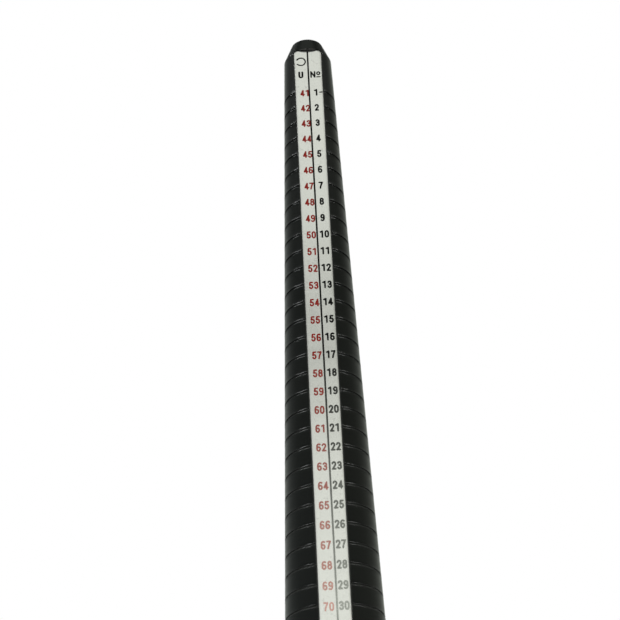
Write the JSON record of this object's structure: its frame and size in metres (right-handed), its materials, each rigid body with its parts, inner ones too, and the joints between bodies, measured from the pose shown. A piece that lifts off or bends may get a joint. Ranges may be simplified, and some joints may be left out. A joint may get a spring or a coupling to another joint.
{
  "type": "ring mandrel",
  "caption": "Tapered round black plastic ring sizing mandrel with an engraved line at each size, an inlaid aluminium scale strip and a fluted collared grip.",
  "frame": {"origin": "centre of the flat end of the grip, on the tool's axis", "axes": "+Z along the tool's axis from the grip to the tip, -Y is the side with the scale strip, +X to the right of the scale"},
  "size_m": [0.03, 0.03, 0.2991],
  "materials": {
    "cone_plastic": null,
    "scale_aluminium": "satin anodised, fine grain",
    "bonding_tape": "double-sided transfer tape; a guess, since it is hidden under the strip",
    "plug_plastic": "plain moulded plastic; a guess, since the piece is internal",
    "grip_plastic": "moulded black plastic with a fine texture; a guess, since the grip is out of the picture",
    "cap_plastic": "moulded black plastic; a guess, since the cap is out of the picture",
    "plated_steel": "bright zinc plated; a guess, since the fastener is internal",
    "ink_black": "screen-printed ink, black pass",
    "ink_red": "screen-printed ink, red pass"
  },
  "bodies": {
    "root": {"mandrel_cone": "cone_plastic", "scale_strip": "scale_aluminium", "strip_tape": "bonding_tape", "joining_plug": "plug_plastic", "handle_grip": "grip_plastic", "end_cap": "cap_plastic", "tie_washer": "plated_steel", "tie_screw": "plated_steel"}
  },
  "joints": []
}
